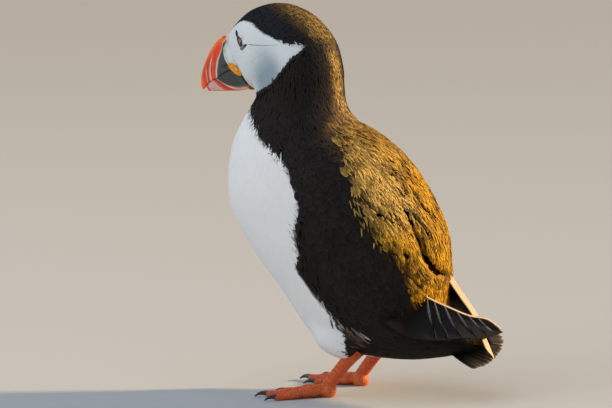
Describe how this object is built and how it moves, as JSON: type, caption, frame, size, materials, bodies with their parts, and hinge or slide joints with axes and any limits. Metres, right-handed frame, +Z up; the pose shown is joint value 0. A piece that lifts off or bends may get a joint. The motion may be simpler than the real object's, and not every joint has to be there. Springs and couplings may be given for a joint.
{
  "type": "atlantic puffin, standing, still life-size model",
  "caption": "Life-size still model of an adult Atlantic puffin standing upright on webbed feet with folded wings and its head turned slightly aside.",
  "frame": {"origin": "middle of the bird's bounding box, at the floor that both feet stand on", "axes": "+Z up; the bird heads along -X; its left side faces -Y"},
  "size_m": [0.1886, 0.099, 0.2202],
  "materials": {
    "dark_feathers": "soft black-brown contour feathers, slightly worn and brown on the mantle",
    "face_feathers": "short dense pale grey-white feathers",
    "belly_feathers": "soft white feathers",
    "flight_feathers": "firm blackish flight feathers with pale worn edges",
    "cere": "pale cream horny strip",
    "bill": "smooth horn: orange-red outer half with curved grooves, slate-blue base, cream ridge",
    "rosette": "wrinkled yellow-orange skin at the corner of the mouth",
    "eye": "wet dark eye",
    "eye_ring": "thin red skin",
    "eye_plate": "blue-grey horny plates",
    "leg_skin": "orange-red scaly skin and webs",
    "claw": "black horn"
  },
  "bodies": {
    "root": {"trunk": "dark_feathers", "neck": "dark_feathers", "head": "face_feathers", "cere": "cere", "bill_upper": "bill", "bill_lower": "bill", "tail": "flight_feathers", "rosette_left": "rosette", "eye_left": "eye", "eye_ring_left": "eye_ring", "eye_plate_upper_left": "eye_plate", "eye_plate_lower_left": "eye_plate", "wing_left": "dark_feathers", "primaries_left": "flight_feathers", "thigh_left": "belly_feathers", "tarsus_left": "leg_skin", "foot_left": "leg_skin", "claw_inner_left": "claw", "claw_middle_left": "claw", "claw_outer_left": "claw", "rosette_right": "rosette", "eye_right": "eye", "eye_ring_right": "eye_ring", "eye_plate_upper_right": "eye_plate", "eye_plate_lower_right": "eye_plate", "wing_right": "dark_feathers", "primaries_right": "flight_feathers", "thigh_right": "belly_feathers", "tarsus_right": "leg_skin", "foot_right": "leg_skin", "claw_inner_right": "claw", "claw_middle_right": "claw", "claw_outer_right": "claw"}
  },
  "joints": []
}
